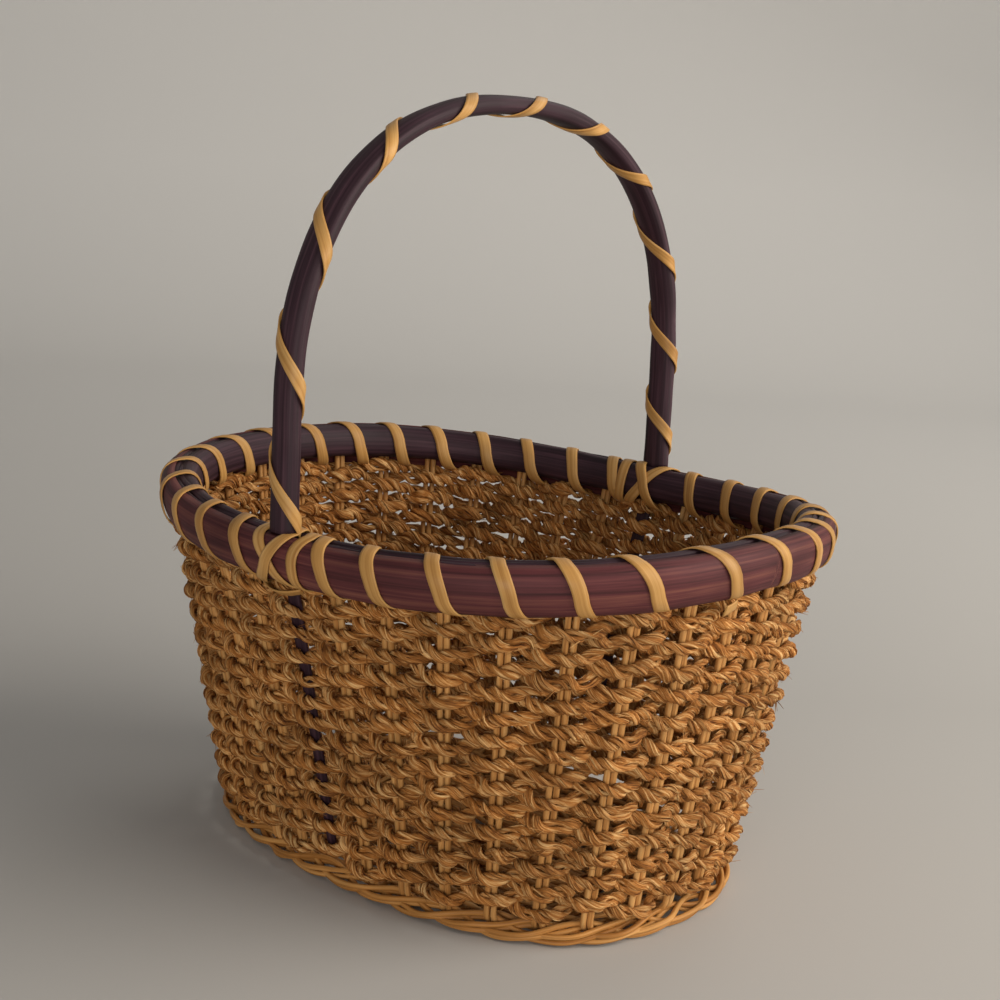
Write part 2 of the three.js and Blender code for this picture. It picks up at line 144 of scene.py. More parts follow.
def wander(t, rng, slowest, fastest):
    """A smooth closed wobble of about 1, over t from 0 to 1."""
    total = np.zeros_like(t)
    waves = rng.integers(slowest, fastest + 1, 9)
    for wave in waves:
        total += np.sin(TURN * (wave * t + rng.random())) / 2.1
    return total


def tangents(points, closed):
    if closed:
        return unit(np.roll(points, -1, 0) - np.roll(points, 1, 0))
    return unit(np.gradient(points, axis=0))


def square_to(vectors, along):
    return unit(vectors - along * np.sum(vectors * along, -1, keepdims=True))


def lengths(points):
    steps = np.linalg.norm(np.diff(points, axis=0), axis=1)
    return np.concatenate([[0], np.cumsum(steps)])


# Meshes
class Shape:
    """Tubes and strips of one piece, in millimetres, with a grain attribute that runs along each."""

    def __init__(self):
        self.points, self.grain, self.faces = [], [], []
        self.count = 0

    def sweep(self, points, x, y, section, scale=None, closed=False, start=0.0):
        section = np.asarray(section, float)
        n, m = len(points), len(section)
        scale = np.ones((n, 2)) if scale is None else np.asarray(scale, float)
        local = section[None] * scale[:, None]
        body = points[:, None] + local[..., :1] * x[:, None] + local[..., 1:] * y[:, None]
        along = start + lengths(points)
        grain = np.concatenate([np.broadcast_to(along[:, None, None], (n, m, 1)), local], -1)
        ring = np.arange(n if closed else n - 1)[:, None]
        around = np.arange(m)[None]
        nxt, side = (ring + 1) % n, (around + 1) % m
        quads = np.stack([ring * m + around, ring * m + side, nxt * m + side, nxt * m + around], -1)
        self.faces += (quads.reshape(-1, 4) + self.count).tolist()
        if not closed:
            self.faces.append([self.count + j for j in reversed(range(m))])
            self.faces.append([self.count + (n - 1) * m + j for j in range(m)])
        self.points.append(body.reshape(-1, 3))
        self.grain.append(grain.reshape(-1, 3))
        self.count += n * m

    def tube(self, points, radius, sides=8, closed=False, reference=None, start=0.0):
        along = tangents(points, closed)
        if reference is None:
            reference = np.broadcast_to(np.array([0.13, 0.21, 0.97]), points.shape)
        x = square_to(np.asarray(reference, float), along)
        radius = np.broadcast_to(np.reshape(radius, (-1, 1)), (len(points), 2))
        self.sweep(points, x, np.cross(along, x), circle(sides), radius, closed, start)

    def strip(self, points, face, section, closed=False, start=0.0):
        along = tangents(points, closed)
        y = square_to(face, along)
        self.sweep(points, np.cross(y, along), y, section, None, closed, start)

    def piece(self, name, material, slot, *nodes):
        mesh = bpy.data.meshes.new(name)
        mesh.from_pydata((np.concatenate(self.points) * MM).tolist(), [], self.faces)
        grain = mesh.attributes.new("grain", "FLOAT_VECTOR", "POINT")
        grain.data.foreach_set("vector", np.concatenate(self.grain).astype(np.float32).ravel())
        mesh.polygons.foreach_set("use_smooth", [True] * len(mesh.polygons))
        mesh.materials.append(material)
        ob = bpy.data.objects.new(name, mesh)
        bpy.context.scene.collection.objects.link(ob)
        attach(ob, "root")
        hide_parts(*nodes)
        return ob


def circle(sides):
    angle = TURN * np.arange(sides) / sides
    return np.stack([np.cos(angle), np.sin(angle)], -1)


def cane_section(width=CANE_WIDTH, thickness=CANE_THICKNESS):
    """A flat cane with a crowned upper side."""
    w, t = width / 2, thickness / 2
    crown = [(w, 0.3 * t), (0.65 * w, 0.85 * t), (0, t), (-0.65 * w, 0.85 * t), (-w, 0.3 * t)]
    return [(-w, -t), (0, -0.8 * t), (w, -t)] + crown


def half_round(bottom, top, depth, arcs=14):
    angle = np.pi * (np.arange(arcs + 1) / arcs - 0.5)
    outward = SLOT + depth * np.cos(angle) ** 0.65
    upward = (top + bottom) / 2 + (top - bottom) / 2 * signed_power(np.sin(angle), 0.9)
    return np.stack([outward, upward], -1)


# Materials
def srgb(code):
    value = np.array([int(code[i : i + 2], 16) for i in (0, 2, 4)]) / 255
    linear = np.where(value < 0.04045, value / 12.92, ((value + 0.055) / 1.055) ** 2.4)
    return (*linear.tolist(), 1.0)


def fibre(name, colours, grain_scale, patch_scale, patch, roughness, bump, depth):
    """A fibrous surface: streaks along the grain, slow patches of tone and a fine relief."""
    material = bpy.data.materials.new(name)
    material.use_nodes = True
    nodes, links = material.node_tree.nodes, material.node_tree.links
    shader = nodes["Principled BSDF"]
    grain = nodes.new("ShaderNodeAttribute")
    grain.attribute_name = "grain"
    stretch = nodes.new("ShaderNodeMapping")
    stretch.inputs["Scale"].default_value = grain_scale
    links.new(grain.outputs["Vector"], stretch.inputs["Vector"])
    streaks = nodes.new("ShaderNodeTexNoise")
    streaks.inputs["Scale"].default_value = 1.0
    streaks.inputs["Detail"].default_value = 4.0
    streaks.inputs["Roughness"].default_value = 0.6
    links.new(stretch.outputs["Vector"], streaks.inputs["Vector"])
    leaves = nodes.new("ShaderNodeTexNoise")
    leaves.inputs["Scale"].default_value = 0.32
    leaves.inputs["Detail"].default_value = 1.0
    links.new(stretch.outputs["Vector"], leaves.inputs["Vector"])
    blend = nodes.new("ShaderNodeMix")
    blend.inputs["Factor"].default_value = 0.45
    links.new(streaks.outputs["Fac"], blend.inputs["A"])
    links.new(leaves.outputs["Fac"], blend.inputs["B"])
    ramp = nodes.new("ShaderNodeValToRGB")
    ends = ramp.color_ramp.elements
    ends[0].position, ends[0].color = 0.34, srgb(colours[0])
    ends[1].position, ends[1].color = 0.66, srgb(colours[2])
    middle = ends.new(0.5)
    middle.color = srgb(colours[1])
    links.new(blend.outputs["Result"], ramp.inputs["Fac"])
    place = nodes.new("ShaderNodeTexCoord")
    patches = nodes.new("ShaderNodeTexNoise")
    patches.inputs["Scale"].default_value = patch_scale
    patches.inputs["Detail"].default_value = 2.0
    links.new(place.outputs["Object"], patches.inputs["Vector"])
    tone = nodes.new("ShaderNodeMapRange")
    tone.inputs["From Min"].default_value = 0.3
    tone.inputs["From Max"].default_value = 0.7
    tone.inputs["To Min"].default_value = 1.0 - patch
    tone.inputs["To Max"].default_value = 1.0 + patch
    links.new(patches.outputs["Fac"], tone.inputs["Value"])
    shade = nodes.new("ShaderNodeMix")
    shade.data_type = "RGBA"
    shade.blend_type = "MULTIPLY"
    shade.inputs["Factor"].default_value = 1.0
    links.new(ramp.outputs["Color"], shade.inputs["A"])
    links.new(tone.outputs["Result"], shade.inputs["B"])
    links.new(shade.outputs["Result"], shader.inputs["Base Color"])
    relief = nodes.new("ShaderNodeBump")
    relief.inputs["Strength"].default_value = bump
    relief.inputs["Distance"].default_value = depth
    links.new(streaks.outputs["Fac"], relief.inputs["Height"])
    links.new(relief.outputs["Normal"], shader.inputs["Normal"])
    shader.inputs["Roughness"].default_value = roughness
    shader.inputs["Specular IOR Level"].default_value = 0.22
    return material


PLAIN_REED = {
    "grain_scale": (0.02, 1.5, 1.5),
    "patch_scale": 60.0,
    "patch": 0.14,
    "roughness": 0.5,
    "bump": 0.35,
    "depth": 0.0002,
}
rope = fibre(
    "rope",
    ("3E1804", "AA6E32", "E4BC80"),
    grain_scale=(0.12, 2.2, 2.2),
    patch_scale=45.0,
    patch=0.25,
    roughness=0.7,
    bump=0.9,
    depth=0.0008,
)
reed = fibre("reed", ("8E5C2B", "B8844A", "CC9F64"), **PLAIN_REED)
wale = fibre("wale", ("925F2A", "B27C40", "C69557"), **PLAIN_REED)
cane = fibre(
    "cane",
    ("9A6D39", "B3864B", "C49A60"),
    grain_scale=(0.015, 1.3, 1.3),
    patch_scale=50.0,
    patch=0.14,
    roughness=0.42,
    bump=0.25,
    depth=0.0002,
)
dyed = fibre(
    "dyed_rim",
    ("331719", "52282A", "6E4238"),
    grain_scale=(0.012, 0.9, 0.9),
    patch_scale=22.0,
    patch=0.3,
    roughness=0.6,
    bump=0.4,
    depth=0.0003,
)
# Darker dyed reed for the handle, the fillers and the inner rim reed. On the inner rim reed the darker
# tone is partly painted shade for its face inside the basket.
dark = fibre(
    "dark_dye_and_painted_rim_shade",
    ("1F1016", "332028", "4C343C"),
    grain_scale=(0.012, 0.9, 0.9),
    patch_scale=30.0,
    patch=0.22,
    roughness=0.55,
    bump=0.4,
    depth=0.0003,
)


# Rope: two strands a course, one above the other, that pass outside and inside the stakes by turns
ROPE_SEED = 100
ROPE_STEPS_A_PLACE = 22
COURSE_SAG = 0.26
PHASE_WANDER = 0.14
DEPTH_WANDER = 0.2
LIFT_WANDER = 0.25
STRAND_SPREAD = 1.08
INSIDE_SPREAD = 0.3


def add_ropes():
    steps = PLACES * ROPE_STEPS_A_PLACE
    share = np.arange(steps) / steps
    for course in range(COURSES):
        rng = np.random.default_rng(ROPE_SEED + course)
        level = LOWEST_COURSE + (HIGHEST_COURSE - LOWEST_COURSE) * course / (COURSES - 1)
        rise = rise_at(level)
        out = wall_frame(share, rise)[2]
        sag = COURSE_SAG * wander(share, rng, 2, 28)
        for number, name in enumerate(("lower", "upper")):
            phase = np.pi * (share * PLACES - 0.5 + number) + PHASE_WANDER * wander(share, rng, 20, 60)
            outside = np.cos(phase)
            depth = WEAVE_DEPTH * signed_power(outside, 0.85) + DEPTH_WANDER * wander(share, rng, 20, 70)
            lift = STRAND_SHIFT * (2 * number - 1) - FRONT_DROP * outside + sag
            lift += LIFT_WANDER * wander(share, rng, 8, 70)
            spread = STRAND_SPREAD + INSIDE_SPREAD * ((1 - outside) / 2) ** 1.5
            shape = Shape()
            start = 1000.0 * (2 * course + number)
            add_strand(shape, beside(share, rise, depth, lift), out, spread, rng, start)
            label = f"{course + 1:02d}_{name}"
            shape.piece(f"rope_{label}", rope, "rope", f"rope_course_{label}")


# A strand: two plies with blades of grass on them, and fibres that have come loose, alone and in tufts
PLY_FLATNESS = (0.86, 1.2)
TWIST_WANDER = 0.55
PLY_SWELL = 0.2
OFFSET_WANDER = 0.1
HAIRS = 120
HAIR_FOOT = 2.1
HAIR_LIFT = 0.8
TUFTS = 2
HAIRS_A_TUFT = 6
TUFT_FOOT = 1.6
TUFT_LIFT = 0.3


def add_strand(shape, path, out, spread, rng, start):
    """A rope of two plies, taller where its spread is larger."""
    along = tangents(path, True)
    x = square_to(out, along)
    y = np.cross(along, x)
    run = lengths(path)
    total = run[-1] + np.linalg.norm(path[0] - path[-1])
    share = run / total
    twist = TURN * (round(total / PLY_PITCH) * share + rng.random())
    twist = twist + TWIST_WANDER * wander(share, rng, 8, 45)
    deep = x / spread[:, None] ** 0.4
    tall = y * spread[:, None]
    for ply in range(2):
        angle = twist + np.pi * ply
        c, s = np.cos(angle)[:, None], np.sin(angle)[:, None]
        radial = c * deep + s * tall
        sideways = c * tall - s * deep
        swell = 1 + PLY_SWELL * wander(share, rng, 15, 90)
        offset = PLY_OFFSET * (1 + OFFSET_WANDER * wander(share, rng, 15, 60))
        scale = PLY_RADIUS * swell[:, None] * PLY_FLATNESS
        centre = path + radial * offset[:, None]
        shape.sweep(centre, radial, sideways, circle(8), scale, True, start + 400.0 * ply)
        add_blades(shape, centre, radial * scale[:, :1], sideways * scale[:, 1:], rng, start)
    for _ in range(HAIRS):
        i = int(rng.integers(len(path)))
        angle = rng.random() * TURN
        side = math.cos(angle) * x[i] + math.sin(angle) * y[i]
        heading = unit(along[i] * rng.choice([-1, 1]) + 0.25 * rng.normal(size=3))
        add_hair(shape, path[i] + HAIR_FOOT * side, heading, side, rng, rng.uniform(0.0, HAIR_LIFT), start)
    for _ in range(TUFTS):
        i = int(rng.integers(len(path)))
        heading = along[i] * rng.choice([-1, 1]) + 0.5 * out[i]
        for _ in range(HAIRS_A_TUFT):
            apart = unit(heading + 0.3 * rng.normal(size=3))
            foot = path[i] + TUFT_FOOT * out[i] + 0.5 * rng.normal(size=3)
            add_hair(shape, foot, apart, out[i], rng, TUFT_LIFT, start)


BLADES_A_PLY = 130
BLADE_STEPS = (7, 12)
BLADE_HALF_WIDTHS = (0.4, 0.95)
BLADE_END_LIFT = 0.14


def add_blades(shape, centre, radial, sideways, rng, start):
    """Blades of grass that lie on a ply and stand a little off it at their ends."""
    for _ in range(BLADES_A_PLY):
        n = int(rng.integers(*BLADE_STEPS))
        i = (int(rng.integers(len(centre))) + np.arange(n)) % len(centre)
        t = np.linspace(0, 1, n)
        turn = rng.uniform(-1.1, 1.1) + rng.uniform(-0.9, 0.9) * t
        away = np.cos(turn)[:, None] * radial[i] + np.sin(turn)[:, None] * sideways[i]
        height = 1 + BLADE_END_LIFT * (2 * t - 1) ** 2
        blade = centre[i] + away * height[:, None]
        along = tangents(blade, False)
        face = square_to(away, along)
        half = rng.uniform(*BLADE_HALF_WIDTHS) * np.sin(np.pi * (0.06 + 0.88 * t)) ** 0.9
        scale = np.stack([half, 0.16 + 0.12 * half], -1)
        across = np.cross(face, along)
        shape.sweep(blade, across, face, circle(5), scale, False, start + 300.0 * rng.random())


HAIR_LENGTHS = (3.0, 7.0)
HAIR_RADII = (0.08, 0.26)


def add_hair(shape, foot, heading, side, rng, lift, start):
    """A fibre that has come out of its strand."""
    t = np.linspace(0, 1, 5)[:, None]
    bow = rng.uniform(-1.0, 1.0) * t**2 * np.cross(heading, side)
    hair = foot + heading * rng.uniform(*HAIR_LENGTHS) * t + side * lift * t**1.5 + bow
    radius = rng.uniform(*HAIR_RADII) * np.linspace(1.0, 0.3, 5)
    shape.tube(hair, radius, 3, False, np.broadcast_to(side, hair.shape), start + 100 * rng.random())


# Stakes: pairs of round reeds that run down the wall, through the base and up the far side
STAKE_SEED = 500
STAKE_TOP_RISE = 1 + 3.0 / 138
STAKE_WALL_STEPS = 44
STAKE_BEND_STEPS = 7
STAKE_BASE_STEPS = 28
REED_GAP = 0.12


def place(k):
    """The fraction of the way round the wall where stake k stands."""
    return (k + 0.5) / PLACES


def long_places():
    return range(-LONG_STAKES_A_SIDE, LONG_STAKES_A_SIDE)


def cross_places():
    """Places of the stakes that run across, without the one that a leg of the handle takes."""
    half = PLACES // 2
    return [k for k in range(LONG_STAKES_A_SIDE, half - LONG_STAKES_A_SIDE) if k != (half - 1) // 2]


def stake_side(fraction, far_fraction, layer_z):
    run = wall(far_fraction, 0.0) - wall(fraction, 0.0)
    run[2] = 0
    run = unit(run)
    low = layer_z + STAKE_BEND
    rises = np.linspace(STAKE_TOP_RISE, rise_at(low), STAKE_WALL_STEPS)
    points = [wall(fraction, r) for r in rises]
    for angle in np.linspace(0, np.pi / 2, STAKE_BEND_STEPS)[1:]:
        z = layer_z + STAKE_BEND * (1 - math.sin(angle))
        point = wall(fraction, rise_at(z)) + run * STAKE_BEND * (1 - math.cos(angle))
        point[2] = z
        points.append(point)
    along = wall_frame(fraction, 0.5)[0]
    across = np.cross([0, 0, 1], run)
    if np.dot(along, across) < 0:
        along = -along
    turned = np.concatenate([np.zeros(STAKE_WALL_STEPS), np.linspace(0, 1, STAKE_BEND_STEPS)[1:]])[:, None]
    return np.array(points), unit(along * (1 - turned) + across * turned)


def add_stakes():
    jobs = []
    for number, k in enumerate(long_places()):
        jobs.append((f"stake_pair_long_{number + 1:02d}", k, PLACES // 2 - 1 - k, LONG_STAKE_Z))
    for number, k in enumerate(cross_places()):
        jobs.append((f"stake_pair_cross_{number + 1:02d}", k, -1 - k, CROSS_STAKE_Z))
    for job, (node, k, far, layer_z) in enumerate(jobs):
        rng = np.random.default_rng(STAKE_SEED + job)
        near, near_side = stake_side(place(k), place(far), layer_z)
        back, back_side = stake_side(place(far), place(k), layer_z)
        bridge = np.linspace(near[-1], back[-1], STAKE_BASE_STEPS + 2)[1:-1]
        points = np.concatenate([near, bridge, back[::-1]])
        side = np.concatenate([near_side, np.tile(near_side[-1], (STAKE_BASE_STEPS, 1)), -back_side[::-1]])
        share = np.linspace(0, 1, len(points))
        shape = Shape()
        for lean in (-1, 1):
            gap = lean * (REED / 2 + REED_GAP + 0.1 * wander(share, rng, 1, 9))
            radius = REED / 2 * (1 + 0.03 * wander(share, rng, 1, 20))
            shape.tube(points + side * gap[:, None], radius, 8, False, side, 700.0 * (2 * job + lean))
        shape.piece(node.replace("pair", "reeds"), reed, "reed", node)


# Base: a reed woven over and under the stakes
WEAVE_INSETS = (71.2, 3.6)
WEAVE_ROUNDS = 22
WEAVE_STEPS_A_ROUND = 220
WEAVE_RADIUS = 1.1
WEAVE_SWING = 2.1
WEAVE_LIFT = 0.7
BASE_END_START = 80
BASE_END_RUN = 16


def add_base_weave():
    i = np.arange(WEAVE_ROUNDS * WEAVE_STEPS_A_ROUND + 1)
    inner, outer = WEAVE_INSETS
    inset = inner + (outer - inner) * i / i[-1]
    angle = TURN * i / WEAVE_STEPS_A_ROUND
    x = BASE_OFFSET[0] + (BASE_OVAL[0] - inset) * signed_power(np.cos(angle), 0.8)
    y = BASE_OFFSET[1] + (BASE_OVAL[1] - inset) * signed_power(np.sin(angle), 0.8)
    cross_x = sorted(float(wall(place(k), 0.0)[0]) for k in cross_places())
    long_y = sorted(float(wall(place(k), 0.0)[1]) for k in long_places())
    passed = np.interp(x, cross_x, np.arange(len(cross_x)))
    passed = passed + np.interp(y, long_y, np.arange(len(long_y)))
    at_end = np.clip((np.abs(x) - BASE_END_START) / BASE_END_RUN, 0, 1)
    low = CROSS_STAKE_Z + WEAVE_LIFT
    z = low + (LONG_STAKE_Z - low) * at_end
    z = z + WEAVE_SWING * np.cos(np.pi * (passed + i // WEAVE_STEPS_A_ROUND))
    shape = Shape()
    shape.tube(np.stack([x, y, z], -1), WEAVE_RADIUS, 6)
    shape.piece("base_weave", reed, "reed", "base_weaver")


# Border of the base: three rods, each drawn as two, that pass outside and inside by turns
BORDER_SEED = 800
BORDER_SEAM_PLACE = 11
BORDER_STEPS_A_PLACE = 12
BORDER_RODS = 3
BORDER_DEPTH = 1.0
BORDER_SWING = 2.9
BORDER_LEVEL = 4.1
BORDER_BOB = 1.2
BORDER_INSIDE_RAISE = 2.2
TWIN_DEPTH = 0.25
TWIN_LIFT = 1.05


def add_base_border():
    steps = PLACES * BORDER_STEPS_A_PLACE
    share = np.arange(steps) / steps
    for rod in range(BORDER_RODS):
        rng = np.random.default_rng(BORDER_SEED + rod)
        shape = Shape()
        for twin in (-1, 1):
            turn = TURN * (share * (PLACES - 1) + rod) / BORDER_RODS + 0.16 * wander(share, rng, 4, 22)
            depth = BORDER_DEPTH + BORDER_SWING * np.cos(turn) + TWIN_DEPTH * twin
            lift = BORDER_LEVEL + BORDER_BOB * np.sin(turn) + TWIN_LIFT * twin
            lift += 0.25 * wander(share, rng, 5, 30)
            lift += BORDER_INSIDE_RAISE * ((1 - np.cos(turn)) / 2) ** 3
            path = beside(share + place(BORDER_SEAM_PLACE), 0.0, depth, lift - WALL_FOOT)
            path[:, 2] = np.maximum(path[:, 2], 1.08 * WALE_RADIUS)
            radius = WALE_RADIUS * (1 + 0.04 * wander(share, rng, 3, 20))
            shape.tube(path, radius, 8, True, None, 900.0 * (2 * rod + twin))
        shape.piece(f"base_border_{rod + 1}", wale, "reed", f"base_wale_rod_{rod + 1}")


# Where the legs of the handle stand, as fractions of the way round the wall
BACK_LEG = 0.25
FRONT_LEG = 0.75

# Rim: two dyed half-round reeds
RIM_SEED = 600
RIM_STEPS_A_PLACE = 10


def add_rim():
    steps = PLACES * RIM_STEPS_A_PLACE
    share = np.arange(steps) / steps
    along, up, out = wall_frame(share, 1.0)
    # The inner reed takes the darker material: dyed reed, with painted shade for its face inside the
    # basket.
    reeds = (("outer", OUTER_RIM, 1, dyed), ("inner", INNER_RIM, -1, dark))
    for number, (name, size, sign, material) in enumerate(reeds):
        rng = np.random.default_rng(RIM_SEED + number)
        section = half_round(*size) * (sign, 1)
        if sign < 0:
            section = section[::-1]
        thicker = 1 + 0.018 * wander(share, rng, 2, 25)
        taller = 1 + 0.015 * wander(share, rng, 2, 25)
        shape = Shape()
        shape.sweep(wall(share, 1.0), out, up, section, np.stack([thicker, taller], -1), True)
        shape.piece(f"rim_reed_{name}", material, "dyed_reed", f"rim_{name}")


# Fillers: three thin reeds on top between the rim reeds, by depth, height and radius
FILLER_SEED = 620
FILLER_REEDS = ((-1.5, 5.9, 1.5), (1.1, 6.3, 1.35), (-0.1, 4.4, 1.3))
FILLER_STEPS = 170
ROOM_AT_LEG = 4.4


def add_fillers():
    room = ROOM_AT_LEG / RIM_LENGTH
    t = np.linspace(0, 1, FILLER_STEPS)
    for number, (name, start) in enumerate((("left", BACK_LEG), ("right", FRONT_LEG))):
        rng = np.random.default_rng(FILLER_SEED + number)
        fraction = np.linspace(start + room, start + 0.5 - room, FILLER_STEPS)
        shape = Shape()
        for depth, height, radius in FILLER_REEDS:
            depths = depth + 0.35 * wander(t, rng, 2, 9)
            heights = height + 0.3 * wander(t, rng, 2, 9)
            shape.tube(beside(fraction, 1.0, depths, heights), radius, 8, False, None, 300.0 * number)
        shape.piece(f"rim_top_reeds_{name}", dark, "dyed_reed", f"rim_filler_{name}")


# Bindings: angle 0 is under the rim, and a quarter turn is inside the basket
BINDING_ROOM = 0.28
BINDING_ROUNDNESS = 2 / 2.5


def round_rim(fraction, angle, lift=0.0):
    """Points and outward directions of a cane that goes round the rim."""
    s, c = np.sin(angle), np.cos(angle)
    bottom, top, outer_depth = OUTER_RIM
    room = CANE_THICKNESS / 2 + BINDING_ROOM + lift
    depth_out = SLOT + outer_depth + room
    depth_in = SLOT + INNER_RIM[2] + room
    half = (top - bottom) / 2 + room
    depth = -np.where(s > 0, depth_in, depth_out) * signed_power(s, BINDING_ROUNDNESS)
    height = (top + bottom) / 2 - half * signed_power(c, BINDING_ROUNDNESS)
    along, up, out = wall_frame(fraction, 1.0)
    outward = (-signed_power(s, 1.2) / depth_out)[:, None]
    upward = (-signed_power(c, 1.2) / half)[:, None]
    return beside(fraction, 1.0, depth, height), unit(out * outward + up * upward)


# How far turns of the binding stand from the middle of their gaps, in millimetres along the rim
BINDING_SEED = 700
BINDING_TURNS = PLACES // 2 - 1
BINDING_STEPS_A_TURN = 28
BINDING_SHIFTS = {
    "left": (),
    "right": (-4.0, -7.0, -4.0, -5.5, -6.5, -4.0, 6.0, 11.0, 11.0, 7.0, 3.0),
}
BINDING_WANDER = 1.3
SHIFT_BLUR = (-0.3, -0.15, 0, 0.15, 0.3)
TUCKED_END_TURN = 6.9
TUCKED_END_LENGTH = 6.5
TUCKED_END_WIDTH = 4.4


def add_bindings():
    turned = np.linspace(0.04, BINDING_TURNS - 0.04, BINDING_TURNS * BINDING_STEPS_A_TURN)
    middles = np.arange(BINDING_TURNS) + 0.75
    for number, (side, start) in enumerate((("left", BACK_LEG), ("right", FRONT_LEG))):
        rng = np.random.default_rng(BINDING_SEED + number)
        moved = rng.uniform(-BINDING_WANDER, BINDING_WANDER, BINDING_TURNS)
        moved[: len(BINDING_SHIFTS[side])] += BINDING_SHIFTS[side]
        shift = sum(np.interp(turned + blur, middles, moved) for blur in SHIFT_BLUR) / len(SHIFT_BLUR)
        fraction = start + (turned + 0.5) / PLACES + shift / RIM_LENGTH
        points, face = round_rim(fraction, TURN * turned)
        shape = Shape()
        shape.strip(points, face, cane_section(), False, 2000.0 * number)
        if side == "right":
            add_tucked_end(shape, fraction[np.searchsorted(turned, TUCKED_END_TURN)])
        shape.piece(f"rim_lacing_{side}", cane, "cane", f"rim_binding_{side}")


def add_tucked_end(shape, fraction):
    """A short end of cane that shows under the rim."""
    t = np.linspace(0, 1, 10)
    tail = fraction - TUCKED_END_LENGTH * t / RIM_LENGTH
    along, up, out = wall_frame(tail, 1.0)
    end = beside(tail, 1.0, 6.4 + 1.2 * t, -11.4 - 2.2 * t + 1.2 * t**2)
    shape.strip(end, unit(out - 0.25 * up), cane_section(TUCKED_END_WIDTH), False, 2600.0)


# Ties: crossing loops that hold each leg of the handle to the rim, shifted along the rim at bottom and top
TIE_SHIFTS = ((7.5, -9.0), (-9.0, 5.0))
TIE_WIDTH = 4.8
TIE_LAYER_LIFTS = (0.15, 1.1)
SIDE_LOOP_SHIFT = 13.0
SIDE_LOOP_PULL = 2.0
UNDER_CANE_HALF_LENGTH = 9.5
UNDER_CANE_WIDTH = 4.6


def add_ties():
    angle = TURN * np.arange(64) / 64
    high = (1 - np.cos(angle)) / 2
    for leg, middle in (("back", BACK_LEG), ("front", FRONT_LEG)):
        for layer, (bottom, top) in enumerate(TIE_SHIFTS):
            shift = bottom + (top - bottom) * high
            lift = TIE_LAYER_LIFTS[layer] * np.abs(np.sin(angle)) ** 0.5
            points, face = round_rim(middle + shift / RIM_LENGTH, angle, lift)
            shape = Shape()
            shape.strip(points, face, cane_section(TIE_WIDTH), True, 500.0 * layer)
            if layer:
                add_under_cane(shape, middle)
            else:
                swing = SIDE_LOOP_SHIFT - SIDE_LOOP_PULL * np.abs(np.sin(angle))
                points, face = round_rim(middle + swing / RIM_LENGTH, angle, 0.1)
                shape.strip(points, face, cane_section(TIE_WIDTH), True, 1200.0)
            shape.piece(f"ear_tie_{leg}_{layer + 1}", cane, "cane", f"handle_tie_{leg}_{layer + 1}")


def add_under_cane(shape, middle):
    """A short cane under the crossing loops."""
    t = np.linspace(-1, 1, 24)
    fraction = middle + UNDER_CANE_HALF_LENGTH * t / RIM_LENGTH
    under = beside(fraction, 1.0, 6.6 - 3.0 * t**2, -11.6 - 1.2 * (1 - t**2))
    along, up, out = wall_frame(fraction, 1.0)
    shape.strip(under, unit(out - 1.1 * up), cane_section(UNDER_CANE_WIDTH), False, 900.0)


# Handle: an oval reed over the rim, shaved flat where it goes down the wall as a stake
HANDLE_SEED = 900
HANDLE_FOOT = 8.3
HANDLE_STEPS = 221
SMOOTHING_ROUNDS = 12
TAIL_STEPS = 40
TAIL_TIP_Z = 18.0
TAIL_TOP_RISE = 1 + 7.6 / 138


def handle_line():
    front, back = beside(np.array([FRONT_LEG, BACK_LEG]), 1.0, [0.0, 0.0], [HANDLE_FOOT, HANDLE_FOOT])
    spring = np.array([0, HANDLE_HALF_SPAN, HANDLE_SPRING_Z])
    t = np.linspace(0, 1, 14)[:-1, None]
    leg = front + (spring * (1, -1, 1) - front) * t
    far_leg = back + (spring - back) * t
    angle = np.pi * (1 - np.linspace(0, 1, 161))
    power = 2 / HANDLE_SQUARENESS
    y = HANDLE_HALF_SPAN * signed_power(np.cos(angle), power)
    z = HANDLE_SPRING_Z + HANDLE_ARCH_RISE * np.maximum(np.sin(angle), 0) ** power
    arch = np.stack([0 * y, y, z], -1)
    line = np.concatenate([leg, arch, far_leg[::-1]])
    run = lengths(line)
    line = points_at(np.linspace(0, run[-1], HANDLE_STEPS), run, line)
    for _ in range(SMOOTHING_ROUNDS):
        line[1:-1] = (line[:-2] + 2 * line[1:-1] + line[2:]) / 4
    return line


def points_at(wanted, run, line):
    return np.stack([np.interp(wanted, run, line[:, i]) for i in range(3)], -1)


def add_handle(line):
    rises = np.linspace(rise_at(TAIL_TIP_Z), TAIL_TOP_RISE, TAIL_STEPS)
    tails = [np.array([wall(f, r) for r in rises]) for f in (FRONT_LEG, BACK_LEG)]
    path = np.concatenate([tails[0], line, tails[1][::-1]])
    share = np.linspace(0, 1, len(line))
    rng = np.random.default_rng(HANDLE_SEED)
    tail_width = np.linspace(*TAIL_WIDTHS, TAIL_STEPS) / 2
    tail = np.stack([tail_width, np.full(TAIL_STEPS, REED / 2)], -1)
    half_width = HANDLE_WIDTH / 2 * (1 + 0.02 * wander(share, rng, 2, 18))
    half_thickness = HANDLE_THICKNESS / 2 * (1 + 0.03 * wander(share, rng, 2, 14))
    scale = np.concatenate([tail, np.stack([half_width, half_thickness], -1), tail[::-1]])
    along = tangents(path, False)
    x = np.broadcast_to(np.array([1.0, 0, 0]), path.shape)
    rounded = circle(20)
    section = np.stack([signed_power(rounded[:, 0], 0.8), signed_power(rounded[:, 1], 0.85)], -1)
    shape = Shape()
    shape.sweep(path, x, np.cross(along, x), section, scale)
    shape.piece("handle_reed", dark, "dyed_reed", "handle")


# Wrap: a flat cane wound along the handle through the marks listed above
WRAP_STEPS = 340
WRAP_START = -3.0
WRAP_END_ROOM = 1.0
WRAP_LEAD_IN = 46.0
WRAP_LEAD_OUT = 40.0
WRAP_BLUR = (-16, -8, 0, 8, 16)
WRAP_ROOM = 0.75
WRAP_WIDTH = 4.5


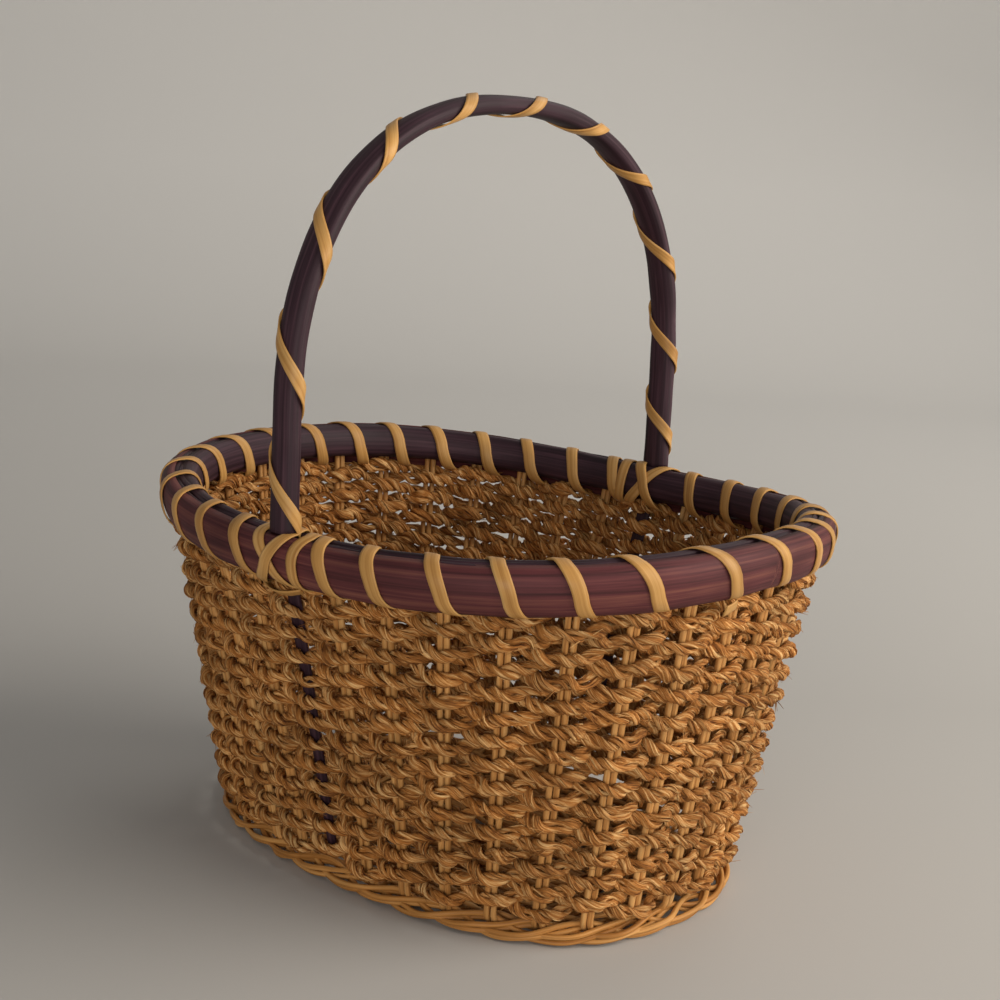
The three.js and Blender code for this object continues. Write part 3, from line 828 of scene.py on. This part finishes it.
def add_wrap(line):
    run = lengths(line)
    s = np.linspace(WRAP_START, run[-1] - WRAP_END_ROOM, WRAP_STEPS)
    marks = np.array(WRAP_MARKS)
    turned = np.radians(marks[:, 1]) - TURN * np.arange(len(marks))
    places = np.array([marks[0, 0] - WRAP_LEAD_IN, *marks[:, 0], marks[-1, 0] + WRAP_LEAD_OUT])
    turned = np.array([turned[0] + TURN, *turned, turned[-1] - TURN])
    angle = sum(np.interp(s + blur, places, turned) for blur in WRAP_BLUR) / len(WRAP_BLUR)
    centre = points_at(s, run, line)
    centre[:, 2] += np.minimum(s, 0)
    along = tangents(centre, False)
    x = np.broadcast_to(np.array([1.0, 0, 0]), centre.shape)
    y = np.cross(along, x)
    half_width = HANDLE_WIDTH / 2 + WRAP_ROOM
    half_thickness = HANDLE_THICKNESS / 2 + WRAP_ROOM
    cosine, sine = np.cos(angle)[:, None], np.sin(angle)[:, None]
    points = centre + x * half_width * cosine + y * half_thickness * sine
    face = unit(x * cosine / half_width + y * sine / half_thickness)
    shape = Shape()
    shape.strip(points, face, cane_section(WRAP_WIDTH))
    shape.piece("handle_cane", cane, "cane", "handle_wrap")


add_ropes()
add_stakes()
add_base_weave()
add_base_border()
add_rim()
add_fillers()
add_bindings()
add_ties()
handle_middle = handle_line()
add_handle(handle_middle)
add_wrap(handle_middle)


# Floor: a plain sheet that bends up behind the basket, paler far from the camera, in metres
FLOOR_FRONT = -1.6
FLOOR_BEND_START = 1.3
FLOOR_BEND_RADIUS = 0.9
FLOOR_TOP = 3.0
FLOOR_HALF_WIDTH = 3.0
FLOOR_TURN = math.radians(41)
FLOOR_NEAR_COLOUR = (0.46, 0.447, 0.424, 1)
FLOOR_FAR_COLOUR = (0.94, 0.92, 0.88, 1)
FLOOR_FADE = (0.2, 1.9)


def floor_mesh():
    profile = [(FLOOR_FRONT, 0.0), (FLOOR_BEND_START, 0.0)]
    for angle in np.linspace(0.1, math.pi / 2, 14):
        distance = FLOOR_BEND_START + FLOOR_BEND_RADIUS * math.sin(angle)
        profile.append((distance, FLOOR_BEND_RADIUS - FLOOR_BEND_RADIUS * math.cos(angle)))
    profile.append((FLOOR_BEND_START + FLOOR_BEND_RADIUS, FLOOR_TOP))
    verts, faces = [], []
    for i, (distance, z) in enumerate(profile):
        for side in (-FLOOR_HALF_WIDTH, FLOOR_HALF_WIDTH):
            verts.append((side, distance, z))
        if i:
            faces.append((2 * i - 2, 2 * i - 1, 2 * i + 1, 2 * i))
    mesh = bpy.data.meshes.new("floor")
    mesh.from_pydata(verts, [], faces)
    mesh.polygons.foreach_set("use_smooth", [True] * len(faces))
    return mesh


def floor_material():
    material = bpy.data.materials.new("floor")
    material.use_nodes = True
    nodes, links = material.node_tree.nodes, material.node_tree.links
    shader = nodes["Principled BSDF"]
    shader.inputs["Roughness"].default_value = 0.9
    position = nodes.new("ShaderNodeTexCoord")
    apart = nodes.new("ShaderNodeSeparateXYZ")
    links.new(position.outputs["Object"], apart.inputs["Vector"])
    far = nodes.new("ShaderNodeMapRange")
    far.inputs["From Min"].default_value = FLOOR_FADE[0]
    far.inputs["From Max"].default_value = FLOOR_FADE[1]
    links.new(apart.outputs["Y"], far.inputs["Value"])
    tone = nodes.new("ShaderNodeMix")
    tone.data_type = "RGBA"
    tone.inputs["A"].default_value = FLOOR_NEAR_COLOUR
    tone.inputs["B"].default_value = FLOOR_FAR_COLOUR
    links.new(far.outputs["Result"], tone.inputs["Factor"])
    links.new(tone.outputs["Result"], shader.inputs["Base Color"])
    return material


def add_floor():
    mesh = floor_mesh()
    mesh.materials.append(floor_material())
    floor = bpy.data.objects.new("floor", mesh)
    floor.rotation_euler = (0, 0, FLOOR_TURN)
    bpy.context.scene.collection.objects.link(floor)


# Lights: soft discs that face the middle of the basket, in metres and watts
LIGHT_TARGET = (0, 0, 0.12)


def add_light(name, location, size, power, colour):
    data = bpy.data.lights.new(name, "AREA")
    data.shape = "DISK"
    data.size = size
    data.energy = power
    data.color = colour
    lamp = bpy.data.objects.new(name, data)
    lamp.location = location
    direction = Vector(LIGHT_TARGET) - lamp.location
    lamp.rotation_euler = direction.to_track_quat("-Z", "Y").to_euler()
    bpy.context.scene.collection.objects.link(lamp)


# Camera: fitted to the photograph, in metres
CAMERA_PLACE = (0.4387, -0.4994, 0.2833)
CAMERA_RIGHT = (0.7461, 0.6636, 0.0539)
CAMERA_UP = (-0.1776, 0.1203, 0.9767)
CAMERA_LENS = 61.2
CAMERA_SENSOR = 36.0


def add_camera():
    data = bpy.data.cameras.new("camera")
    data.lens = CAMERA_LENS
    data.sensor_width = CAMERA_SENSOR
    data.clip_start = 0.01
    camera = bpy.data.objects.new("camera", data)
    right = unit(np.array(CAMERA_RIGHT))
    up = np.array(CAMERA_UP)
    up = unit(up - right * np.dot(up, right))
    back = np.cross(right, up)
    rows = [[right[i], up[i], back[i], CAMERA_PLACE[i]] for i in range(3)]
    camera.matrix_world = Matrix(rows + [[0, 0, 0, 1]])
    bpy.context.scene.collection.objects.link(camera)
    bpy.context.scene.camera = camera


def add_world():
    world = bpy.data.worlds.new("studio")
    world.use_nodes = True
    background = world.node_tree.nodes["Background"]
    background.inputs["Color"].default_value = (0.88, 0.87, 0.86, 1)
    background.inputs["Strength"].default_value = 0.24
    bpy.context.scene.world = world


add_floor()
add_light("key", (1.1, 0.5, 0.65), 1.4, 23.0, (1.0, 0.93, 0.84))
add_light("fill", (0.72, -1.13, 0.15), 0.9, 10.4, (1.0, 0.95, 0.89))
add_light("back", (-0.2, 1.3, 1.3), 1.0, 4.0, (1.0, 0.97, 0.93))
add_camera()
add_world()
bpy.context.scene.view_settings.view_transform = "Standard"

bpy.context.view_layer.update()
